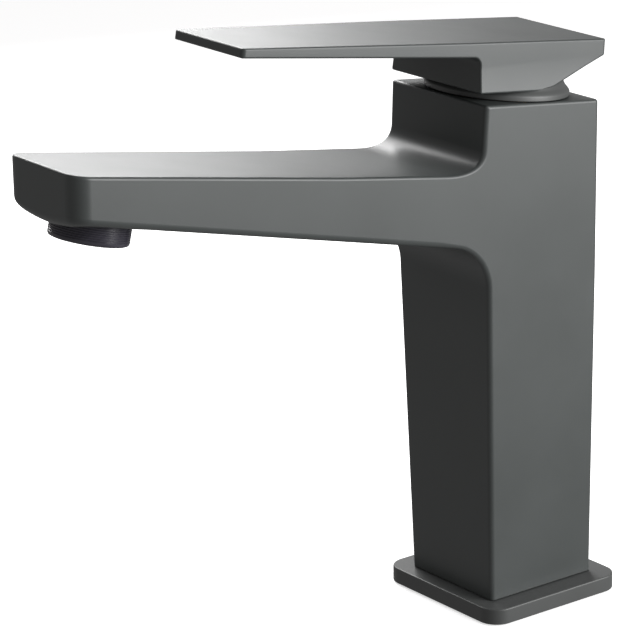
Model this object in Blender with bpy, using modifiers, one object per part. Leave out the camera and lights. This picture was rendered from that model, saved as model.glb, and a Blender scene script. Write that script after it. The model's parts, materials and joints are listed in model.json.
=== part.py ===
"""Single-lever basin mixer: a square column with a long flat spout, a paddle lever and a ceramic cartridge.

Sizes are in millimetres here and become metres where meshes are made. +Z is up, the spout points to -Y,
and the origin is on the column's axis in the plane of the deck that the tap stands on.
"""

import math

import bmesh
import bpy
from mathutils import Euler, Matrix, Vector

MM = 0.001
GAP = 0.3  # between pieces that touch
RIM_ANGLE = math.radians(50)  # a sharper turn than this between two faces is a rim to round

# Base plate and its seal
PLATE_SIDE = 50.0
PLATE_TOP = 5.2
PLATE_LIFT = 0.4
PLATE_CORNER = 6.0
PLATE_HOLE_R = 15.5
SEAL_MARGIN = 2.4
SEAL_THICK = 1.3

# Column: half widths and the front and back faces at its foot, at its waist and at its top
FOOT_HALF, WAIST_HALF, TOP_HALF = 18.2, 20.25, 21.0
FOOT_FRONT, TOP_FRONT = -20.0, -25.6
FOOT_BACK, TOP_BACK = 19.0, 16.8
WAIST_Z = 98.0
TOP_FRONT_Z = 155.4
COLUMN_EDGE_R = 1.5
COLUMN_WALL = 3.4
CAVITY_TOP = 100.0
CAVITY_DRAFT = 0.3

# Spout
SPOUT_TIP = -159.2
TIP_TOP_Z = 157.4
TIP_BOTTOM_Z = 144.4
TIP_HALF = 16.4
SPOUT_TOP_RISE = 0.170
SPOUT_UNDER_RISE = 0.2317
SWELL_Y, SWELL = -75.0, 0.8
ROOT_FRONT = -26.6
ROOT_REACH_ALONG, ROOT_REACH_UP = 13.0, 7.0
UNDER_FILLET_R = 15.0
SPOUT_EDGE_R = 0.9
TIP_EDGE_R = 5.0
BELLY = 2.3
BELLY_LENGTH = 90.0
WATERWAY_HALF = 9.5
SPOUT_WALL = 3.4
CHANNEL_DROP = 12.4

# Cartridge: its axis leaves the column's sloping top at right angles. Heights H are along that axis
TOP_TILT = math.radians(6.35)
AXIS_Y = -3.9
CARTRIDGE_R = 17.5
BORE_CLEAR = 0.3
NUT_R = CARTRIDGE_R + 1.5
NUT_SEAT_H, NUT_SHOULDER_H = -8.0, -0.8
NUT_CROWN_R, NUT_CROWN_H = CARTRIDGE_R - 2.2, 2.3
SEAT_H = -32.9
NECK_R = CARTRIDGE_R - 5.0
ROTOR_R = NECK_R - 2.1
HOUSING_WALL = 1.9
HOUSING_TOP_H = -8.3
HOUSING_FOOT_H = -28.0
STEM_HALF = 3.25
STEM_TOP_H = 14.9
PIVOT_H = -6.0
STEM_ARM = 8.2
STEM_FOOT_R = 2.6
PIN_R = 1.5
CARRIER_R = CARTRIDGE_R - 5.3
CARRIER_TOP_H, CARRIER_THICK = -12.7, 6.0
DISC_R, DISC_THICK = CARTRIDGE_R - HOUSING_WALL - 0.4, 3.5
PORT_R = CARTRIDGE_R * 0.206
INLET_X = INLET_Y = CARTRIDGE_R * 0.43
OUTLET_Y = -CARTRIDGE_R * 0.486
LIFT_LIMIT = math.radians(22.0)

# Collar
COLLAR_R = CARTRIDGE_R + 3.3
COLLAR_RIM = 1.4
COLLAR_TOP_H = 6.2
COLLAR_HOLE_R = NECK_R
COLLAR_WALL = 1.3
SKIRT_R = NUT_CROWN_R + 1.1

# Lever handle, in the cartridge's frame
LEVER_TIP = -103.6
LEVER_BACK = 22.8
LEVER_TIP_HALF, LEVER_NECK_HALF, LEVER_BACK_HALF = 15.5, 18.9, 19.4
LEVER_TOP_TIP_H, LEVER_TOP_BACK_H = 18.1, 17.1
LEVER_TIP_THICK = 2.7
LEVER_NECK_H = 13.1
BLOCK_FRONT = -23.6
LEVER_NECK = -28.0
BLOCK_BOTTOM_H = 3.1
BLOCK_FLARE, FLARE_TOP_H = 0.7, 9.6
CHIN_LEAN = 0.4
BLOCK_WALL = 1.9
BLOCK_ROOF_H = 10.8
BLOCK_SLOPE = math.radians(24.2)
SLOPE_END_H = 12.6
SCREW_H = 14.0
SCREW_R = 1.5
BOSS_R = 6.2

# Aerator, square to the spout's underside
AERATOR_Y = SPOUT_TIP + 14.3
AERATOR_Z = TIP_BOTTOM_Z - SPOUT_UNDER_RISE * (AERATOR_Y - SPOUT_TIP) - 6.6
AERATOR_R = 11.0
AERATOR_BORE_R = AERATOR_R + 0.4
AERATOR_WALL = 1.2
AERATOR_TOP = 10.0
AERATOR_SEAT = 11.6
AERATOR_THROAT_R = AERATOR_R - 3.0

# Deck fixing
STUD_R = 3.9
STUD_Y = -8.0

TAP = "single_lever_mixer"


def clear_scene():
    for old in list(bpy.data.objects):
        bpy.data.objects.remove(old, do_unlink=True)


def new_collection(name, hidden):
    made = bpy.data.collections.new(name)
    made.hide_render = hidden
    bpy.context.scene.collection.children.link(made)
    return made


clear_scene()
PARTS = new_collection(TAP, False)
CUTTERS = new_collection("cutters", True)


def finish(name, color, rough, metal):
    made = bpy.data.materials.new(name)
    made.use_nodes = True
    shader = made.node_tree.nodes["Principled BSDF"]
    shader.inputs["Base Color"].default_value = (*color, 1.0)
    shader.inputs["Roughness"].default_value = rough
    shader.inputs["Metallic"].default_value = metal
    return made


COATED = finish("black_coat", (0.045, 0.048, 0.047), 0.45, 0.0)
DARK_PLASTIC = finish("dark_plastic", (0.03, 0.03, 0.035), 0.35, 0.0)
BRASS = finish("raw_brass", (0.72, 0.53, 0.25), 0.35, 1.0)
PLASTIC = finish("cartridge_plastic", (0.75, 0.76, 0.74), 0.5, 0.0)
STEEL = finish("stainless", (0.6, 0.6, 0.6), 0.3, 1.0)
CERAMIC = finish("ceramic", (0.85, 0.84, 0.8), 0.15, 0.0)
RUBBER = finish("rubber", (0.03, 0.03, 0.03), 0.8, 0.0)


def frame(name, spot, tilt, parent=None):
    """An empty that pieces hang on: its Z is a joint's or a socket's axis."""
    empty = bpy.data.objects.new(name, None)
    empty.location = Vector(spot) * MM
    empty.rotation_euler = Euler((tilt, 0.0, 0.0))
    empty.parent = parent
    PARTS.objects.link(empty)
    return empty


TOP_SLOPE = math.tan(TOP_TILT)
AXIS_Z = TOP_FRONT_Z - TOP_SLOPE * (AXIS_Y - TOP_FRONT)
AERATOR_TILT = math.atan(SPOUT_UNDER_RISE)
SWIVEL = frame("lever_swivel_axis", (0, AXIS_Y, AXIS_Z), -TOP_TILT)
LIFT = frame("lever_lift_axis", (0, 0, PIVOT_H), 0.0, SWIVEL)
SPOUT_END = frame("aerator_axis", (0, AERATOR_Y, AERATOR_Z), -AERATOR_TILT)


def in_world(y, height):
    """World (y, z) of a point given by its y and height in the cartridge's frame."""
    sine, cosine = math.sin(TOP_TILT), math.cos(TOP_TILT)
    return AXIS_Y + y * cosine + height * sine, AXIS_Z - y * sine + height * cosine


def to_object(bm, name, material, parent=None, cutter=False):
    bmesh.ops.recalc_face_normals(bm, faces=bm.faces)
    mesh = bpy.data.meshes.new(name)
    bmesh.ops.scale(bm, vec=(MM, MM, MM), verts=bm.verts)
    bm.to_mesh(mesh)
    bm.free()
    made = bpy.data.objects.new(name, mesh)
    made.parent = parent
    if cutter:
        made.hide_render = True
        made.display_type = "WIRE"
        CUTTERS.objects.link(made)
    else:
        mesh.materials.append(material)
        PARTS.objects.link(made)
    return made


def turned(name, profile, material=None, parent=None, steps=32, cutter=False):
    """A profile of (radius, height) points, running down its outer side, spun about Z and closed."""
    bm = bmesh.new()
    points = [bm.verts.new((radius, 0.0, height)) for radius, height in profile]
    ends = list(zip(points, points[1:]))
    if min(radius for radius, height in profile) > 0:
        ends.append((points[-1], points[0]))
    for start, end in ends:
        bm.edges.new((start, end))
    bmesh.ops.scale(bm, vec=(MM, MM, MM), verts=bm.verts)
    mesh = bpy.data.meshes.new(name)
    bm.to_mesh(mesh)
    bm.free()
    made = bpy.data.objects.new(name, mesh)
    made.parent = parent
    screw = made.modifiers.new("spin", "SCREW")
    screw.axis = "Z"
    screw.steps = screw.render_steps = steps
    screw.use_merge_vertices = True
    screw.merge_threshold = 1e-5
    if cutter:
        made.hide_render = True
        made.display_type = "WIRE"
        CUTTERS.objects.link(made)
    else:
        mesh.materials.append(material)
        PARTS.objects.link(made)
    return made


def plug(
    name, radius, low, high, parent=None, spot=(0.0, 0.0), steps=20, along="Z", cutter=True, material=None
):
    """A cylinder from low to high along an axis, through spot on the other two."""
    bm = bmesh.new()
    bmesh.ops.create_cone(
        bm, cap_ends=True, segments=steps, radius1=radius, radius2=radius, depth=high - low
    )
    turn = {"X": Matrix.Rotation(math.pi / 2, 4, "Y"), "Y": Matrix.Rotation(math.pi / 2, 4, "X")}
    bmesh.ops.transform(bm, matrix=turn.get(along, Matrix()), verts=bm.verts)
    middle = (low + high) / 2
    place = {"X": (middle, *spot), "Y": (spot[0], middle, spot[1]), "Z": (*spot, middle)}[along]
    bmesh.ops.translate(bm, vec=place, verts=bm.verts)
    return to_object(bm, name, material, parent, cutter)


def block(name, low, high, parent=None, material=None, cutter=True):
    bm = bmesh.new()
    bmesh.ops.create_cube(bm, size=1.0)
    size = Vector(high) - Vector(low)
    bmesh.ops.scale(bm, vec=size, verts=bm.verts)
    bmesh.ops.translate(bm, vec=(Vector(high) + Vector(low)) / 2, verts=bm.verts)
    return to_object(bm, name, material, parent, cutter)


def slab_of(outline):
    """A bmesh of a side outline of (y, z) points, one millimetre either side of x = 0."""
    bm = bmesh.new()
    face = bm.faces.new([bm.verts.new((-1.0, y, z)) for y, z in outline])
    pushed = bmesh.ops.extrude_face_region(bm, geom=[face])["geom"]
    moved = [v for v in pushed if isinstance(v, bmesh.types.BMVert)]
    bmesh.ops.translate(bm, vec=(2, 0, 0), verts=moved)
    return bm


def slab(name, outline, half, parent=None, material=None, cutter=True):
    bm = slab_of(outline)
    bmesh.ops.scale(bm, vec=(half, 1, 1), verts=bm.verts)
    return to_object(bm, name, material, parent, cutter)


def ring(name, radius, thick, height, parent, spot=(0.0, 0.0), material=RUBBER):
    """An O-ring: a circle with a round bevel, made a mesh."""
    bm = bmesh.new()
    bmesh.ops.create_circle(bm, segments=8, radius=thick)
    bmesh.ops.rotate(bm, cent=(0, 0, 0), matrix=Matrix.Rotation(math.pi / 2, 3, "X"), verts=bm.verts)
    bmesh.ops.translate(bm, vec=(radius, 0, 0), verts=bm.verts)
    bmesh.ops.spin(
        bm,
        geom=bm.edges[:] + bm.verts[:],
        cent=(0, 0, 0),
        axis=(0, 0, 1),
        angle=math.tau,
        steps=24,
        use_merge=True,
    )
    bmesh.ops.remove_doubles(bm, verts=bm.verts, dist=1e-4)
    bmesh.ops.translate(bm, vec=(*spot, height), verts=bm.verts)
    return to_object(bm, name, material, parent)


def boolean(target, tools, operation="DIFFERENCE"):
    for tool in tools:
        cut = target.modifiers.new(tool.name, "BOOLEAN")
        cut.operation = operation
        cut.object = tool
    return target


def rounded(target, width, segments=2, angle=35.0):
    edge = target.modifiers.new("round", "BEVEL")
    edge.width = width * MM
    edge.segments = segments
    edge.limit_method = "ANGLE"
    edge.angle_limit = math.radians(angle)
    return target


def weighted_round(target, width, segments):
    edge = target.modifiers.new("round", "BEVEL")
    edge.width = width * MM
    edge.segments = segments
    edge.limit_method = "WEIGHT"
    edge.use_clamp_overlap = False
    return target


def fillet(before, corner, after, radius, steps):
    """The arc that rounds a corner of an outline, from its first tangent point to its second."""
    corner = Vector(corner)
    start, end = (Vector(before) - corner).normalized(), (Vector(after) - corner).normalized()
    half = start.angle(end) / 2
    reach = radius / math.tan(half)
    center = corner + (start + end).normalized() * radius / math.sin(half)
    first, last = corner + start * reach - center, corner + end * reach - center
    angle = math.atan2(first.y, first.x)
    turn = math.remainder(math.atan2(last.y, last.x) - angle, math.tau)
    spread = [angle + turn * step / steps for step in range(steps + 1)]
    return [(center.x + radius * math.cos(a), center.y + radius * math.sin(a)) for a in spread]


def bow(corner, before, after, reach_before, reach_after, steps):
    """A soft corner of an outline that starts and ends at its own distance from the corner."""
    corner = Vector(corner)
    start = corner + (Vector(before) - corner).normalized() * reach_before
    end = corner + (Vector(after) - corner).normalized() * reach_after
    shares = [step / steps for step in range(steps + 1)]
    curve = [start * (1 - t) ** 2 + corner * (2 * t * (1 - t)) + end * t**2 for t in shares]
    return [tuple(point) for point in curve]


def meet(point_a, slope_a, point_b, run_b):
    """Where a line of slope dz/dy meets a line through point_b that leans run_b in y for each z."""
    y = (point_b[0] + run_b * (point_a[1] - slope_a * point_a[0] - point_b[1])) / (1 - run_b * slope_a)
    return y, point_a[1] + slope_a * (y - point_a[0])


# The body: column and spout in one casting
def column_half(z):
    """Half the column's width: it widens quickly to the waist, then slowly."""
    if z < WAIST_Z:
        return FOOT_HALF + (WAIST_HALF - FOOT_HALF) * (z - PLATE_TOP) / (WAIST_Z - PLATE_TOP)
    return WAIST_HALF + (TOP_HALF - WAIST_HALF) * (z - WAIST_Z) / (TOP_FRONT_Z - WAIST_Z)


def front_y(z):
    return FOOT_FRONT + (TOP_FRONT - FOOT_FRONT) * (z - PLATE_TOP) / (TOP_FRONT_Z - PLATE_TOP)


def back_y(z):
    return FOOT_BACK + (TOP_BACK - FOOT_BACK) * (z - PLATE_TOP) / (TOP_FRONT_Z - PLATE_TOP)


def spout_top_z(y):
    return TIP_TOP_Z - SPOUT_TOP_RISE * (y - SPOUT_TIP)


def spout_under_z(y):
    return TIP_BOTTOM_Z - SPOUT_UNDER_RISE * (y - SPOUT_TIP)


def body_half(y, z):
    """Half the body's width: the column's, less the spout's taper in front of the column."""
    taper = (column_half(TIP_TOP_Z) - TIP_HALF) / (TOP_FRONT - SPOUT_TIP)
    return column_half(z) - taper * max(0.0, TOP_FRONT - y)


def body_outline():
    """The side outline, counter-clockwise from the foot's front corner."""
    lean = (TOP_FRONT - FOOT_FRONT) / (TOP_FRONT_Z - PLATE_TOP)
    foot = (FOOT_FRONT, PLATE_TOP + GAP)
    armpit = meet((SPOUT_TIP, TIP_BOTTOM_Z), -SPOUT_UNDER_RISE, (FOOT_FRONT, PLATE_TOP), lean)
    tip_low, tip_high = (SPOUT_TIP, TIP_BOTTOM_Z), (SPOUT_TIP, TIP_TOP_Z)
    swell = (SWELL_Y, spout_top_z(SWELL_Y))
    root = (ROOT_FRONT, spout_top_z(ROOT_FRONT) + SWELL)
    crown = (TOP_FRONT, TOP_FRONT_Z)
    back_z = TOP_FRONT_Z - TOP_SLOPE * (TOP_BACK - TOP_FRONT)
    return (
        [foot]
        + fillet(foot, armpit, tip_low, UNDER_FILLET_R, 6)
        + [tip_low, tip_high, swell]
        + bow(root, swell, crown, ROOT_REACH_ALONG, ROOT_REACH_UP, 6)
        + [crown, (TOP_BACK, back_z), (FOOT_BACK, PLATE_TOP + GAP)]
    )


def near(value, target, reach=0.01):
    return abs(value - target) < reach


def body_edge(edge):
    """How wide a rim's rounding is: thin on the spout and the crown, wider below them and on the column."""
    start, end = (vert.co for vert in edge.verts)
    if edge.calc_face_angle(0.0) < RIM_ANGLE or max(start.z, end.z) < PLATE_TOP + 2 * GAP:
        return 0.0
    middle = (start + end) / 2
    if middle.z < (spout_top_z(middle.y) + spout_under_z(middle.y)) / 2:
        return COLUMN_EDGE_R
    upright = abs(start.z - end.z) / (start - end).length
    return SPOUT_EDGE_R + (COLUMN_EDGE_R - SPOUT_EDGE_R) * upright**2


def body_shell():
    bm = slab_of(body_outline())
    across = ((0, 0, WAIST_Z), (0, 0, 1))
    along = [((0, y, 0), (0, 1, 0)) for y in (TOP_FRONT, SPOUT_TIP + BELLY_LENGTH)]
    for spot, normal in (across, *along):
        geom = bm.verts[:] + bm.edges[:] + bm.faces[:]
        bmesh.ops.bisect_plane(bm, geom=geom, dist=1e-4, plane_co=spot, plane_no=normal)
    for share in (-0.6, -0.3, 0.0, 0.3, 0.6):
        bm.normal_update()
        faces = [f for f in bm.faces if not near(abs(f.normal.x), 1.0)]
        geom = list({v for f in faces for v in f.verts} | {e for f in faces for e in f.edges}) + faces
        bmesh.ops.bisect_plane(bm, geom=geom, dist=1e-4, plane_co=(share, 0, 0), plane_no=(1, 0, 0))
    for vert in bm.verts:
        share = vert.co.x
        fade = 1.0 - (vert.co.y - SPOUT_TIP) / BELLY_LENGTH
        under = near(vert.co.z, spout_under_z(vert.co.y), 0.02)
        vert.co.x = share * body_half(vert.co.y, vert.co.z)
        if under and fade > 0:
            vert.co.z -= BELLY * fade * (1.0 - share * share)
    corners = [
        e
        for e in bm.edges
        if all(near(v.co.y, SPOUT_TIP) and near(abs(v.co.x), TIP_HALF, 0.3) for v in e.verts)
        and not near(e.verts[0].co.z, e.verts[1].co.z, 1.0)
    ]
    bmesh.ops.bevel(
        bm, geom=corners, offset=TIP_EDGE_R, segments=4, profile=0.5, affect="EDGES", material=-1
    )
    bm.normal_update()
    weight = bm.edges.layers.float.new("bevel_weight_edge")
    for edge in bm.edges:
        edge[weight] = body_edge(edge) / COLUMN_EDGE_R
    bmesh.ops.triangulate(bm, faces=[f for f in bm.faces if len(f.verts) > 4])
    made = to_object(bm, "body", COATED)
    return weighted_round(made, COLUMN_EDGE_R, 3)


def cartridge_bore():
    profile = (
        (0.0, 2.0),
        (NUT_R + BORE_CLEAR, 2.0),
        (NUT_R + BORE_CLEAR, NUT_SEAT_H),
        (CARTRIDGE_R + BORE_CLEAR, NUT_SEAT_H),
        (CARTRIDGE_R + BORE_CLEAR, SEAT_H),
        (0.0, SEAT_H),
    )
    return turned("bore_cutter", profile, parent=SWIVEL, steps=40, cutter=True)


def column_cavity():
    """The room for the two hoses, open at the foot and a little narrower at its ceiling."""
    bm = bmesh.new()
    bmesh.ops.create_cube(bm, size=2.0)
    for vert in bm.verts:
        low = vert.co.z < 0
        z, draft = (PLATE_TOP - 1.0, 0.0) if low else (CAVITY_TOP, CAVITY_DRAFT)
        half = FOOT_HALF - COLUMN_WALL - draft
        front, back = FOOT_FRONT + COLUMN_WALL + draft, back_y(z) - COLUMN_WALL
        vert.co = (math.copysign(half, vert.co.x), front if vert.co.y < 0 else back, z)
    return to_object(bm, "cavity_cutter", None, cutter=True)


def channel_z():
    """The level of the seat's front, or of the spout's root where that is lower."""
    return min(in_world(-CARTRIDGE_R, SEAT_H)[1], spout_top_z(ROOT_FRONT) - CHANNEL_DROP)


def waterway():
    """The channel from under the cartridge's seat to the aerator, as a side outline."""
    seat_y, seat_z = in_world(-CARTRIDGE_R, SEAT_H)[0], channel_z()
    far, near_root = SPOUT_TIP + 6.0, -60.0
    tall = SPOUT_WALL
    outline = [
        (in_world(OUTLET_Y, SEAT_H)[0] + 4.0, seat_z - 13.0),
        (in_world(OUTLET_Y, SEAT_H)[0] + 4.0, seat_z - 5.5),
        (seat_y + 1.0, seat_z - 3.5),
        (seat_y - 3.0, seat_z - 1.5),
        (seat_y - 6.0, seat_z + 6.0),
        (TOP_FRONT - 14.0, spout_top_z(TOP_FRONT - 14.0) - tall - 1.0),
        (near_root, spout_top_z(near_root) - tall),
        (far, spout_top_z(far) - tall),
        (far, spout_under_z(far) + tall + 2.6),
        (near_root, spout_under_z(near_root) + tall),
        (TOP_FRONT - 9.5, spout_under_z(TOP_FRONT - 9.5) + 2.6),
        (TOP_FRONT - 1.2, seat_z - 8.0),
        (TOP_FRONT + 5.0, seat_z - 13.0),
    ]
    return slab("waterway_cutter", outline, WATERWAY_HALF)


def body():
    inlet_y, inlet_top = in_world(INLET_Y, SEAT_H)[0], AXIS_Z + SEAT_H + 3
    inlets = [
        plug(f"inlet_cutter_{side}", PORT_R, CAVITY_TOP - 1, inlet_top, spot=(x, inlet_y))
        for side, x in (("cold", INLET_X), ("hot", -INLET_X))
    ]
    throat_low, throat_high = AERATOR_SEAT - 1, AERATOR_SEAT + 4.5
    seat_y, seat_z = in_world(OUTLET_Y, SEAT_H)
    tools = [
        cartridge_bore(),
        column_cavity(),
        waterway(),
        plug("outlet_cutter", PORT_R, channel_z() - 9, seat_z + 2, spot=(0, seat_y)),
        plug("stud_cutter", STUD_R, CAVITY_TOP - 1, CAVITY_TOP + 5, spot=(0, STUD_Y)),
        plug("aerator_cutter", AERATOR_BORE_R, -6.0, AERATOR_SEAT, parent=SPOUT_END, steps=32),
        plug("throat_cutter", AERATOR_THROAT_R, throat_low, throat_high, parent=SPOUT_END, steps=24),
    ]
    return boolean(body_shell(), inlets + tools)


# Base plate and seal
def rounded_square(name, side, corner, low, high, material=None, cutter=False):
    bm = bmesh.new()
    bmesh.ops.create_cube(bm, size=1.0)
    bmesh.ops.scale(bm, vec=(side, side, high - low), verts=bm.verts)
    bmesh.ops.translate(bm, vec=(0, 0, (high + low) / 2), verts=bm.verts)
    upright = [e for e in bm.edges if not near(e.verts[0].co.z, e.verts[1].co.z)]
    bmesh.ops.bevel(
        bm, geom=upright, offset=corner, segments=5, profile=0.5, affect="EDGES", material=-1
    )
    return to_object(bm, name, material, cutter=cutter)


def base_plate():
    plate = rounded_square("base_plate", PLATE_SIDE, PLATE_CORNER, PLATE_LIFT, PLATE_TOP, COATED)
    seal_side = PLATE_SIDE - 2 * SEAL_MARGIN
    tools = [
        rounded_square(
            "seal_recess_cutter",
            seal_side + 2 * GAP,
            PLATE_CORNER - SEAL_MARGIN + GAP,
            -1.0,
            SEAL_THICK + GAP,
            cutter=True,
        ),
        plug("plate_hole_cutter", PLATE_HOLE_R, -2, PLATE_TOP + 2, steps=32),
    ]
    rounded(plate, 0.6, segments=2, angle=60)
    return boolean(plate, tools)


def base_seal():
    side = PLATE_SIDE - 2 * SEAL_MARGIN
    seal = rounded_square("base_seal", side, PLATE_CORNER - SEAL_MARGIN, 0.0, SEAL_THICK, RUBBER)
    return boolean(seal, [plug("seal_hole_cutter", PLATE_HOLE_R + GAP, -2, 4, steps=32)])


# Cartridge and what holds it
def cartridge_nut():
    low, high, inner = NUT_SEAT_H + GAP, NUT_SHOULDER_H, NECK_R + GAP
    profile = (
        (inner, NUT_CROWN_H),
        (NUT_CROWN_R, NUT_CROWN_H),
        (NUT_CROWN_R, high),
        (NUT_R, high),
        (NUT_R, low),
        (inner, low),
    )
    nut = turned("cartridge_nut", profile, BRASS, SWIVEL)
    slots = [
        block("nut_slot_cutter_back", (-2.0, 11.0, 0.6), (2.0, 22.0, 4.0), SWIVEL),
        block("nut_slot_cutter_front", (-2.0, -22.0, 0.6), (2.0, -11.0, 4.0), SWIVEL),
    ]
    return boolean(nut, slots)


def cartridge_housing():
    inner = CARTRIDGE_R - HOUSING_WALL
    roof = HOUSING_TOP_H - 1.6
    bore = ROTOR_R + 0.25
    profile = (
        (bore, 1.2),
        (NECK_R, 1.2),
        (NECK_R, HOUSING_TOP_H),
        (CARTRIDGE_R, HOUSING_TOP_H),
        (CARTRIDGE_R, HOUSING_FOOT_H),
        (inner, HOUSING_FOOT_H),
        (inner, roof),
        (bore, roof),
    )
    return turned("cartridge_housing", profile, PLASTIC, SWIVEL)


def swivel_rotor():
    flange_r = CARTRIDGE_R - HOUSING_WALL - 0.4
    flange_top, flange_low = HOUSING_TOP_H - 1.9, CARRIER_TOP_H + 0.4
    profile = (
        (0.0, 2.0),
        (ROTOR_R, 2.0),
        (ROTOR_R, flange_top),
        (flange_r, flange_top),
        (flange_r, flange_low),
        (0.0, flange_low),
    )
    rotor = turned("swivel_rotor", profile, PLASTIC, SWIVEL)
    swing = STEM_HALF + 0.6 + max(2.0 - PIVOT_H, PIVOT_H - flange_low) * math.sin(LIFT_LIMIT)
    slot = block("stem_slot_cutter", (-STEM_HALF - GAP, -swing, -20), (STEM_HALF + GAP, swing, 6), SWIVEL)
    pin_hole = plug("rotor_pin_cutter", PIN_R + 0.1, -12, 12, SWIVEL, (0.0, PIVOT_H), along="X")
    return boolean(rotor, [slot, pin_hole])


def stem_pin():
    return plug(
        "stem_pin", PIN_R, -ROTOR_R + 0.6, ROTOR_R - 0.6, SWIVEL, (0.0, PIVOT_H), 16, "X", False, STEEL
    )


def lever_stem():
    """The square stem, its pin hole at the lift axis, and the round foot that pushes the discs."""
    top = STEM_TOP_H - PIVOT_H
    low_corner, high_corner = (-STEM_HALF, -STEM_HALF, -5.0), (STEM_HALF, STEM_HALF, top)
    stem = block("lever_stem", low_corner, high_corner, LIFT, STEEL, False)
    neck = block("stem_neck_tool", (-2.2, -1.7, -STEM_ARM), (2.2, 1.7, -4.0), LIFT)
    foot = plug("stem_foot_tool", STEM_FOOT_R, -2.4, 2.4, LIFT, (0.0, -STEM_ARM), 16, "X")
    boolean(stem, [neck, foot], "UNION")
    return boolean(stem, [plug("stem_pin_cutter", PIN_R + 0.1, -6, 6, LIFT, (0.0, 0.0), 16, "X")])


def disc_carrier():
    low = CARRIER_TOP_H - CARRIER_THICK
    carrier = plug(
        "disc_carrier", CARRIER_R, low, CARRIER_TOP_H, SWIVEL, steps=32, cutter=False, material=PLASTIC
    )
    reach = STEM_FOOT_R + 0.45
    pocket_low = PIVOT_H - STEM_ARM - STEM_FOOT_R - 0.4
    pocket = block("foot_pocket_cutter", (-3.2, -reach, pocket_low), (3.2, reach, 0), SWIVEL)
    return boolean(carrier, [pocket])


MOVING_TOP_H = CARRIER_TOP_H - CARRIER_THICK - GAP
FIXED_TOP_H = MOVING_TOP_H - DISC_THICK - GAP
BASE_TOP_H = FIXED_TOP_H - DISC_THICK - GAP
BASE_FOOT_H = SEAT_H + 1.5


def disc_blank(name, radius, top):
    return plug(name, radius, top - DISC_THICK, top, SWIVEL, steps=32, cutter=False, material=CERAMIC)


def moving_disc():
    disc = disc_blank("moving_disc", CARRIER_R - 0.3, MOVING_TOP_H)
    mixing = block("mixing_pocket_cutter", (-6, -7, MOVING_TOP_H - 6), (6, 4, MOVING_TOP_H - 1.8), SWIVEL)
    return boolean(disc, [mixing])


def port_cutters(name, low, high):
    spots = {"cold": (INLET_X, INLET_Y), "hot": (-INLET_X, INLET_Y), "outlet": (0.0, OUTLET_Y)}
    radius = PORT_R - 0.4
    return [plug(f"{name}_{port}", radius, low, high, SWIVEL, spot, 16) for port, spot in spots.items()]


def fixed_disc():
    disc = disc_blank("fixed_disc", DISC_R, FIXED_TOP_H)
    return boolean(disc, port_cutters("disc_port_cutter", FIXED_TOP_H - 6, FIXED_TOP_H + 2))


def cartridge_base():
    flange_top = HOUSING_FOOT_H - GAP
    profile = (
        (0.0, BASE_TOP_H),
        (DISC_R, BASE_TOP_H),
        (DISC_R, flange_top),
        (CARTRIDGE_R, flange_top),
        (CARTRIDGE_R, BASE_FOOT_H),
        (0.0, BASE_FOOT_H),
    )
    base = turned("cartridge_base", profile, PLASTIC, SWIVEL)
    return boolean(base, port_cutters("base_port_cutter", BASE_FOOT_H - 2, BASE_TOP_H + 2))


def seals():
    middle = (BASE_FOOT_H + SEAT_H) / 2
    thick = (BASE_FOOT_H - SEAT_H) / 2 - 0.25
    spots = {"cold": (INLET_X, INLET_Y), "hot": (-INLET_X, INLET_Y), "outlet": (0.0, OUTLET_Y)}
    for port, spot in spots.items():
        ring(f"{port}_seal", PORT_R + 0.9, thick, middle, SWIVEL, spot)


# Collar
def collar_profile():
    """Heights of the collar's outer surface, from its rim to its crown."""
    return (
        (COLLAR_HOLE_R, COLLAR_TOP_H),
        (COLLAR_R - 5.3, 5.9),
        (COLLAR_R - 3.3, 5.3),
        (COLLAR_R - 2.1, 4.3),
        (COLLAR_R - 1.4, 3.1),
        (COLLAR_R - 0.4, 2.1),
        (COLLAR_R, COLLAR_RIM),
    )


def collar():
    outer = collar_profile()
    inner = (
        (COLLAR_R, GAP),
        (COLLAR_R - COLLAR_WALL, GAP),
        (COLLAR_R - 2.2, 2.0),
        (SKIRT_R + 1.2, 2.8),
        (SKIRT_R + 1.2, GAP),
        (SKIRT_R, GAP),
        (SKIRT_R, 3.4),
        (COLLAR_HOLE_R, 4.4),
    )
    return turned("collar", outer + inner, COATED, SWIVEL, steps=48)


def collar_ring():
    return ring("collar_ring", (NUT_CROWN_R + SKIRT_R) / 2, 0.4, 0.7, SWIVEL)


# Lever handle
def lever_half(y, height):
    """Half the lever's width: it widens from the tip to the back, and the block flares downwards."""
    flare = BLOCK_FLARE * max(0.0, FLARE_TOP_H - height) / (FLARE_TOP_H - BLOCK_BOTTOM_H)
    if y < LEVER_NECK + 0.1:
        share = (y - LEVER_TIP) / (LEVER_NECK - LEVER_TIP)
        return LEVER_TIP_HALF + (LEVER_NECK_HALF - LEVER_TIP_HALF) * share
    share = (y - LEVER_NECK) / (LEVER_BACK - LEVER_NECK)
    return LEVER_NECK_HALF + (LEVER_BACK_HALF - LEVER_NECK_HALF) * share + flare


def lever_outline():
    slope = math.tan(BLOCK_SLOPE)
    heel_y = LEVER_BACK - (SLOPE_END_H - BLOCK_BOTTOM_H) / slope
    heel = (heel_y, BLOCK_BOTTOM_H)
    back_low = (LEVER_BACK + 0.2, SLOPE_END_H)
    chin = (BLOCK_FRONT + CHIN_LEAN, BLOCK_BOTTOM_H)
    neck = (BLOCK_FRONT, LEVER_NECK_H)
    tip_low = (LEVER_TIP - 0.2, LEVER_TOP_TIP_H - LEVER_TIP_THICK)
    return (
        [(LEVER_BACK, LEVER_TOP_BACK_H), (LEVER_TIP, LEVER_TOP_TIP_H), tip_low]
        + fillet(tip_low, neck, chin, 2.5, 4)
        + [chin]
        + fillet(chin, heel, back_low, 18.0, 5)
        + [back_low]
    )


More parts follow.
